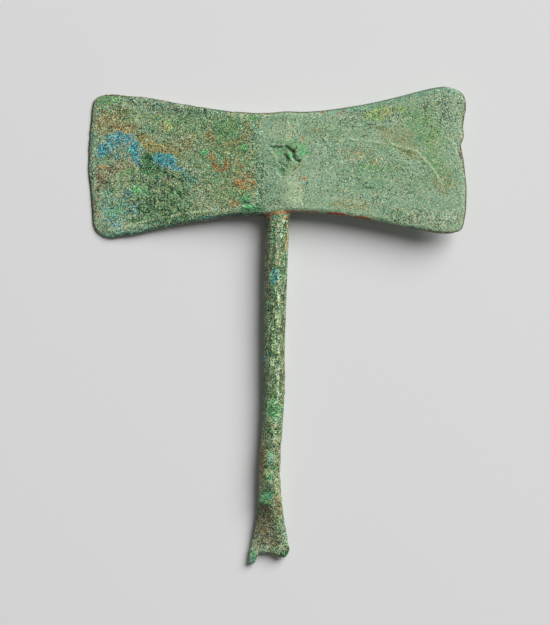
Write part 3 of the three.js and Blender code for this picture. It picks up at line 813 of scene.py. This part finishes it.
class Nodes:
    """Short names for the shader nodes used here. Values may be numbers or sockets."""

    def __init__(self, material):
        material.use_nodes = True
        self.tree = material.node_tree
        self.tree.nodes.clear()
        # The place in the axe's own frame, in millimetres.
        turn = self.add("Mapping", vector_type="POINT")
        where = self.add("TexCoord").outputs["Object"]
        fill(turn, Vector=where, Rotation=(0, LEAN, 0), Scale=(1 / MM,) * 3)
        self.place = turn.outputs["Vector"]

    def add(self, kind, **settings):
        node = self.tree.nodes.new("ShaderNode" + kind)
        for name, value in settings.items():
            setattr(node, name, value)
        return node

    def compute(self, kind, operation, *values):
        """What a maths node makes of these values."""
        node = self.add(kind, operation=operation)
        for socket, value in zip(node.inputs, values):
            feed(socket, value)
        return node.outputs[0]

    def maths(self, operation, *values):
        return self.compute("Math", operation, *values)

    def times(self, a, b):
        return self.maths("MULTIPLY", a, b)

    def plus(self, a, b):
        return self.maths("ADD", a, b)

    def minus(self, a, b):
        return self.maths("SUBTRACT", a, b)

    def scaled(self, a, by, plus):
        return self.maths("MULTIPLY_ADD", a, by, plus)

    def stretched(self, size, seed, stretch=(1, 1, 1)):
        """The place in units of size, shortened by stretch along each axis and moved by seed."""
        scale = tuple(k / size for k in stretch)
        shift = (seed * 5.7, seed * 3.1, seed * 8.3)
        return self.compute("VectorMath", "MULTIPLY_ADD", self.place, scale, shift)

    def noise(self, size, seed, detail, roughness=0.55, stretch=(1, 1, 1), gain=2.4):
        """Cloudy noise that fills 0 to 1."""
        node = self.add("TexNoise")
        place = self.stretched(size, seed, stretch)
        fill(node, Vector=place, Scale=1, Detail=detail, Roughness=roughness)
        return self.scaled(node.outputs["Fac"], gain, 0.5 - gain / 2)

    def grains(self, size, seed):
        """Two random values from 0 to 1 for each mineral grain."""
        node = self.add("TexVoronoi", feature="F1")
        fill(node, Vector=self.stretched(size, seed), Scale=1)
        split = self.add("SeparateColor")
        fill(split, Color=node.outputs["Color"])
        return split.outputs[0], split.outputs[1]

    def mark(self, name):
        """A value that roughen() kept at each point."""
        return self.add("Attribute", attribute_name=name).outputs["Fac"]

    def step(self, value, low, high):
        """Smoothly from 0 at low to 1 at high."""
        node = self.add("MapRange", interpolation_type="SMOOTHSTEP")
        fill(node, Value=value, From_Min=low, From_Max=high)
        return node.outputs[0]

    def mix(self, share, a, b, blend="MIX"):
        node = self.add("Mix", data_type="RGBA", blend_type=blend)
        # Of this node's sockets, inputs 6 and 7 and output 2 are the ones for colours.
        for index, value in ((0, share), (6, a), (7, b)):
            feed(node.inputs[index], value)
        return node.outputs[2]

    def ramp(self, value, stops):
        """Colours by value: a list of (position, colour)."""
        node = self.add("ValToRGB")
        feed(node.inputs[0], value)
        elements = node.color_ramp.elements
        while len(elements) < len(stops):
            elements.new(1)
        for element, (position, colour) in zip(elements, stops):
            element.position = position
            element.color = colour
        return node.outputs[0]


def grey(value):
    return (value, value, value, 1)


# Each kind of patina: its dark, middle and light colour, how big its ragged bits are, how much fine
# grain decides its outline rather than those bits, how soft its outline is, and how opaque it is.
# A later kind lies over the ones before it, and all lie over the plain one.
PLAIN = ((96, 125, 100), (147, 173, 142), (191, 209, 178))
KINDS = {
    "olive": ((78, 104, 68), (120, 150, 106), (170, 192, 142), 1.7, 0.3, 0.4, 0.8),
    "leaf": ((74, 118, 78), (112, 158, 112), (152, 194, 144), 1.7, 0.3, 0.4, 0.8),
    "lime": ((92, 130, 66), (146, 180, 106), (204, 222, 144), 1.1, 0.4, 0.3, 0.8),
    # Besides real pale patina, mist paints light on the haft's shaded left side.
    "mist": ((88, 120, 102), (134, 168, 140), (184, 208, 180), 1.7, 0.4, 0.4, 0.75),
    "earth": ((80, 78, 42), (148, 140, 86), (206, 190, 136), 1.4, 0.5, 0.35, 0.8),
    "umber": ((46, 44, 34), (88, 86, 64), (146, 140, 110), 1.2, 0.4, 0.25, 0.9),
    "teal": ((30, 88, 76), (80, 144, 122), (142, 200, 172), 1.2, 0.6, 0.3, 0.85),
    "crust": ((10, 54, 32), (56, 119, 74), (116, 175, 124), 1.2, 0.4, 0.3, 0.9),
    # Besides real pale patina, pale paints highlights on the scar's crests and along the haft.
    "pale": ((130, 154, 122), (176, 198, 162), (216, 226, 192), 1.7, 0.5, 0.3, 0.85),
    "malachite": ((60, 138, 88), (108, 186, 128), (160, 224, 168), 1.2, 0.5, 0.3, 0.95),
    "azurite": ((0, 98, 130), (40, 158, 180), (146, 210, 204), 0.65, 0.35, 0.07, 1),
    "turquoise": ((66, 150, 142), (108, 190, 178), (164, 218, 204), 0.65, 0.35, 0.1, 0.95),
    "cuprite": ((132, 92, 56), (188, 136, 90), (222, 182, 132), 0.8, 0.5, 0.12, 0.9),
    "vermilion": ((120, 44, 32), (186, 80, 54), (214, 128, 90), 0.8, 0.6, 0.15, 1),
}
TONES = (0.2, 0.5, 0.8)  # the tones at which a kind's three colours show

# Tints and shades that multiply the colour, by position along a ramp.
WARM_AND_COOL = [(0, (0.6, 1.04, 1.3, 1)), (0.5, (0.97, 1.04, 1, 1)), (1, (1.5, 1, 0.7, 1))]
VEIL = [(0.1, (0.84, 0.9, 0.8, 1)), (0.5, grey(1)), (0.9, (1.12, 1.08, 1.14, 1))]
SHADE = [(0.1, grey(0.7)), (0.5, grey(1)), (0.9, grey(1.3))]
STREAK = [(0.2, grey(0.45)), (0.5, grey(0.9)), (0.8, grey(1.4))]
SPECKLE = [(0.1, grey(0.72)), (0.5, grey(1)), (0.9, grey(1.28))]

CREAM, PIT = srgb(240, 232, 196), srgb(26, 36, 24)
# The second colour is painted shadow: a dark line beside each cream line, where a crest would cast its
# shade.
BRIGHT_LINE, PAINTED_SHADOW_LINE = srgb(214, 216, 172), srgb(36, 56, 34)
BROWN, LOW_PLACE_GREEN = srgb(88, 72, 52), srgb(40, 56, 36)
SATURATION = 1.12
BUMP_HEIGHT = 0.2 * MM


class Patina:
    """The values that the patina is made from, and the layers that each go over the colour so far."""

    def __init__(self, material):
        self.n = n = Nodes(material)
        self.rugged = n.mark("rugged")
        self.cloud = n.noise(2.4, 2, detail=3, roughness=0.6)
        self.worms = n.noise(0.42, 3, detail=1, roughness=0.8, gain=3.4)
        self.grain, self.hue = n.grains(0.3, 4)
        # Flecks and pits gather in different places.
        patchy = n.noise(3.4, 9, detail=3, roughness=0.6)
        self.fleck = n.times(n.mark("fleck"), n.step(patchy, 0.35, 0.75))
        self.pitted = n.times(n.mark("pitted"), n.step(patchy, 0.65, 0.25))
        # Grain by grain from dark to light, with more contrast where the surface is flecked and pitted.
        self.lively = n.scaled(self.rugged, 0.55, n.scaled(n.plus(self.fleck, self.pitted), 0.9, 0.5))
        mixed = n.scaled(self.worms, 0.22, n.times(self.grain, 0.78))
        self.tone = n.scaled(n.minus(mixed, 0.5), self.lively, 0.5)
        chip, _ = n.grains(0.34, 5)
        self.cream = n.step(n.plus(chip, n.times(self.fleck, 0.26)), 0.99, 1)
        self.pit = n.step(n.minus(chip, n.times(self.pitted, 0.26)), 0.03, 0)
        wander = n.noise(1.4, 10, detail=1, gain=1)
        self.bright_line = self.line(wander, 0.5)
        # The dark line beside each bright one is a groove in the bump and a painted shadow in the colour.
        self.groove_with_painted_shadow = self.line(wander, 0.4)

    def line(self, wander, middle):
        """A fine line that winds over the rough, flecked parts."""
        n = self.n
        off = n.maths("ABSOLUTE", n.minus(wander, middle))
        return n.times(n.step(off, 0.08, 0.03), n.times(self.rugged, self.fleck))

    def three_tones(self, *colours):
        return self.n.ramp(self.tone, [(tone, srgb(*colour)) for tone, colour in zip(TONES, colours)])

    def minerals(self):
        n = self.n
        colour = self.three_tones(*PLAIN)
        for seed, (kind, (*colours, size, grainy, soft, opaque)) in enumerate(KINDS.items(), 20):
            bits = n.noise(size, seed, detail=3, roughness=0.6)
            limit = n.scaled(self.tone, grainy, n.times(bits, 1 - grainy))
            share = n.times(n.step(n.minus(n.mark(kind), limit), -soft, soft), opaque)
            colour = n.mix(share, colour, self.three_tones(*colours))
        return colour

    def tinted(self, colour):
        """Each grain a little warmer or cooler, and whole areas a little darker or lighter."""
        n = self.n
        tint, shade = n.ramp(self.hue, WARM_AND_COOL), n.ramp(self.cloud, SHADE)
        colour = n.mix(n.scaled(self.rugged, 0.4, 0.6), colour, tint, "MULTIPLY")
        colour = n.mix(n.scaled(self.rugged, 0.6, 0.05), colour, shade, "MULTIPLY")
        swept = n.noise(6, 7, detail=3, stretch=(0.4, 1, 1))
        return n.mix(0.6, colour, n.ramp(swept, VEIL), "MULTIPLY")

    def flecked(self, colour):
        """Cream flecks and nearly black pits, and fine cream lines, each with a painted shadow beside it.
        """
        n = self.n
        spots = [(self.cream, 0.9, CREAM), (self.pit, 0.9, PIT)]
        lines = [(self.bright_line, 0.5, BRIGHT_LINE), (self.groove_with_painted_shadow, 0.5, PAINTED_SHADOW_LINE)]
        for share, strength, over in spots + lines:
            colour = n.mix(n.times(share, strength), colour, over)
        return colour

    def streaked(self, colour):
        """Streaks along the haft, and a speckle over all."""
        n = self.n
        drawn = n.noise(0.55, 6, detail=1, stretch=(1, 0.14, 1), gain=3)
        colour = n.mix(n.times(n.mark("striped"), 0.85), colour, n.ramp(drawn, STREAK), "MULTIPLY")
        colour = n.mix(1, colour, n.ramp(self.tone, SPECKLE), "MULTIPLY")
        vivid = n.add("HueSaturation")
        fill(vivid, Color=colour, Saturation=SATURATION)
        return vivid.outputs[0]

    def browned_and_darkened_low(self, colour):
        """Brown on the steep sides, and darker where the relief lies low."""
        n = self.n
        browned = n.times(n.mark("steep"), n.step(self.cloud, 0.1, 0.8))
        colour = n.mix(n.times(browned, 0.85), colour, BROWN)
        # A dark green where the relief lies low.
        low = n.step(n.times(n.mark("height"), -1), 0.12, 0.6)
        return n.mix(n.times(low, 0.6), colour, LOW_PLACE_GREEN)

    def bump(self):
        n = self.n
        height = n.scaled(self.worms, 0.6, n.times(self.grain, 0.4))
        height = n.minus(n.times(height, self.lively), self.pit)
        height = n.scaled(n.minus(self.bright_line, self.groove_with_painted_shadow), 0.6, height)
        bump = n.add("Bump")
        fill(bump, Height=height, Distance=BUMP_HEIGHT, Strength=1)
        return bump.outputs[0]

    def roughness(self):
        """The haft is a little smoother than the blade."""
        n = self.n
        return n.scaled(self.worms, 0.16, n.scaled(n.mark("haft"), -0.2, 0.52))


def patina_material():
    material = bpy.data.materials.new("patina")
    patina = Patina(material)
    n = patina.n
    colour = patina.minerals()
    for layer in (patina.tinted, patina.flecked, patina.streaked, patina.browned_and_darkened_low):
        colour = layer(colour)
    shader = n.add("BsdfPrincipled")
    fill(shader, Base_Color=colour, Roughness=patina.roughness(), Normal=patina.bump())
    fill(shader, Specular_IOR_Level=0.5)
    fill(n.add("OutputMaterial"), Surface=shader.outputs[0])
    return material


axe.data.materials.clear()
axe.data.materials.append(patina_material())
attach(axe, "root")
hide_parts(NODE)


# ---------------- stage, light and camera

VIEW_CENTRE = (-0.8 * MM, 5.3 * MM, 5 * MM)
FIELD_HEIGHT = 250 * MM
CAMERA_HEIGHT = 1.8
SENSOR = 36
FLOOR_SIDE, FLOOR_GREY = 3, 0.8
# A large, far disk of light, by its direction in degrees, and its distance and width in metres.
KEY_AZIMUTH, KEY_ELEVATION, KEY_DISTANCE, KEY_WIDTH = 44, 41, 6, 4.9
KEY_WATTS = 462
SKY = 0.11


def plain_material(name, colour, roughness):
    material = bpy.data.materials.new(name)
    material.use_nodes = True
    shader = material.node_tree.nodes["Principled BSDF"]
    fill(shader, Base_Color=colour, Roughness=roughness, Specular_IOR_Level=0)
    return material


def make_floor():
    half = FLOOR_SIDE / 2
    mesh = bpy.data.meshes.new("floor")
    corners = [(-half, -half, 0), (half, -half, 0), (half, half, 0), (-half, half, 0)]
    mesh.from_pydata(corners, [], [(0, 1, 2, 3)])
    mesh.materials.append(plain_material("paper", grey(FLOOR_GREY), 1))
    floor = placed("floor", mesh)


def make_key_light():
    azimuth, elevation = math.radians(KEY_AZIMUTH), math.radians(KEY_ELEVATION)
    light = bpy.data.lights.new("key", "AREA")
    light.shape = "DISK"
    light.size = KEY_WIDTH
    light.energy = KEY_WATTS
    lamp = placed("key", light)
    flat, high = KEY_DISTANCE * math.cos(elevation), KEY_DISTANCE * math.sin(elevation)
    lamp.location = (flat * math.cos(azimuth), flat * math.sin(azimuth), high)
    lamp.rotation_euler = (math.pi / 2 - elevation, 0, azimuth + math.pi / 2)


def make_sky():
    world = bpy.data.worlds.new("sky")
    world.use_nodes = True
    fill(world.node_tree.nodes["Background"], Color=grey(1), Strength=SKY)
    bpy.context.scene.world = world


def make_camera():
    """Straight above the axe, and so high that perspective hardly shows."""
    camera = bpy.data.cameras.new("camera")
    camera.sensor_width = SENSOR
    camera.lens = SENSOR * CAMERA_HEIGHT / FIELD_HEIGHT
    camera.clip_start = 0.01
    eye = placed("camera", camera)
    x, y, z = VIEW_CENTRE
    eye.location = (x, y, z + CAMERA_HEIGHT)
    bpy.context.scene.camera = eye


make_floor()
make_key_light()
make_sky()
make_camera()
bpy.context.scene.view_settings.view_transform = "Standard"
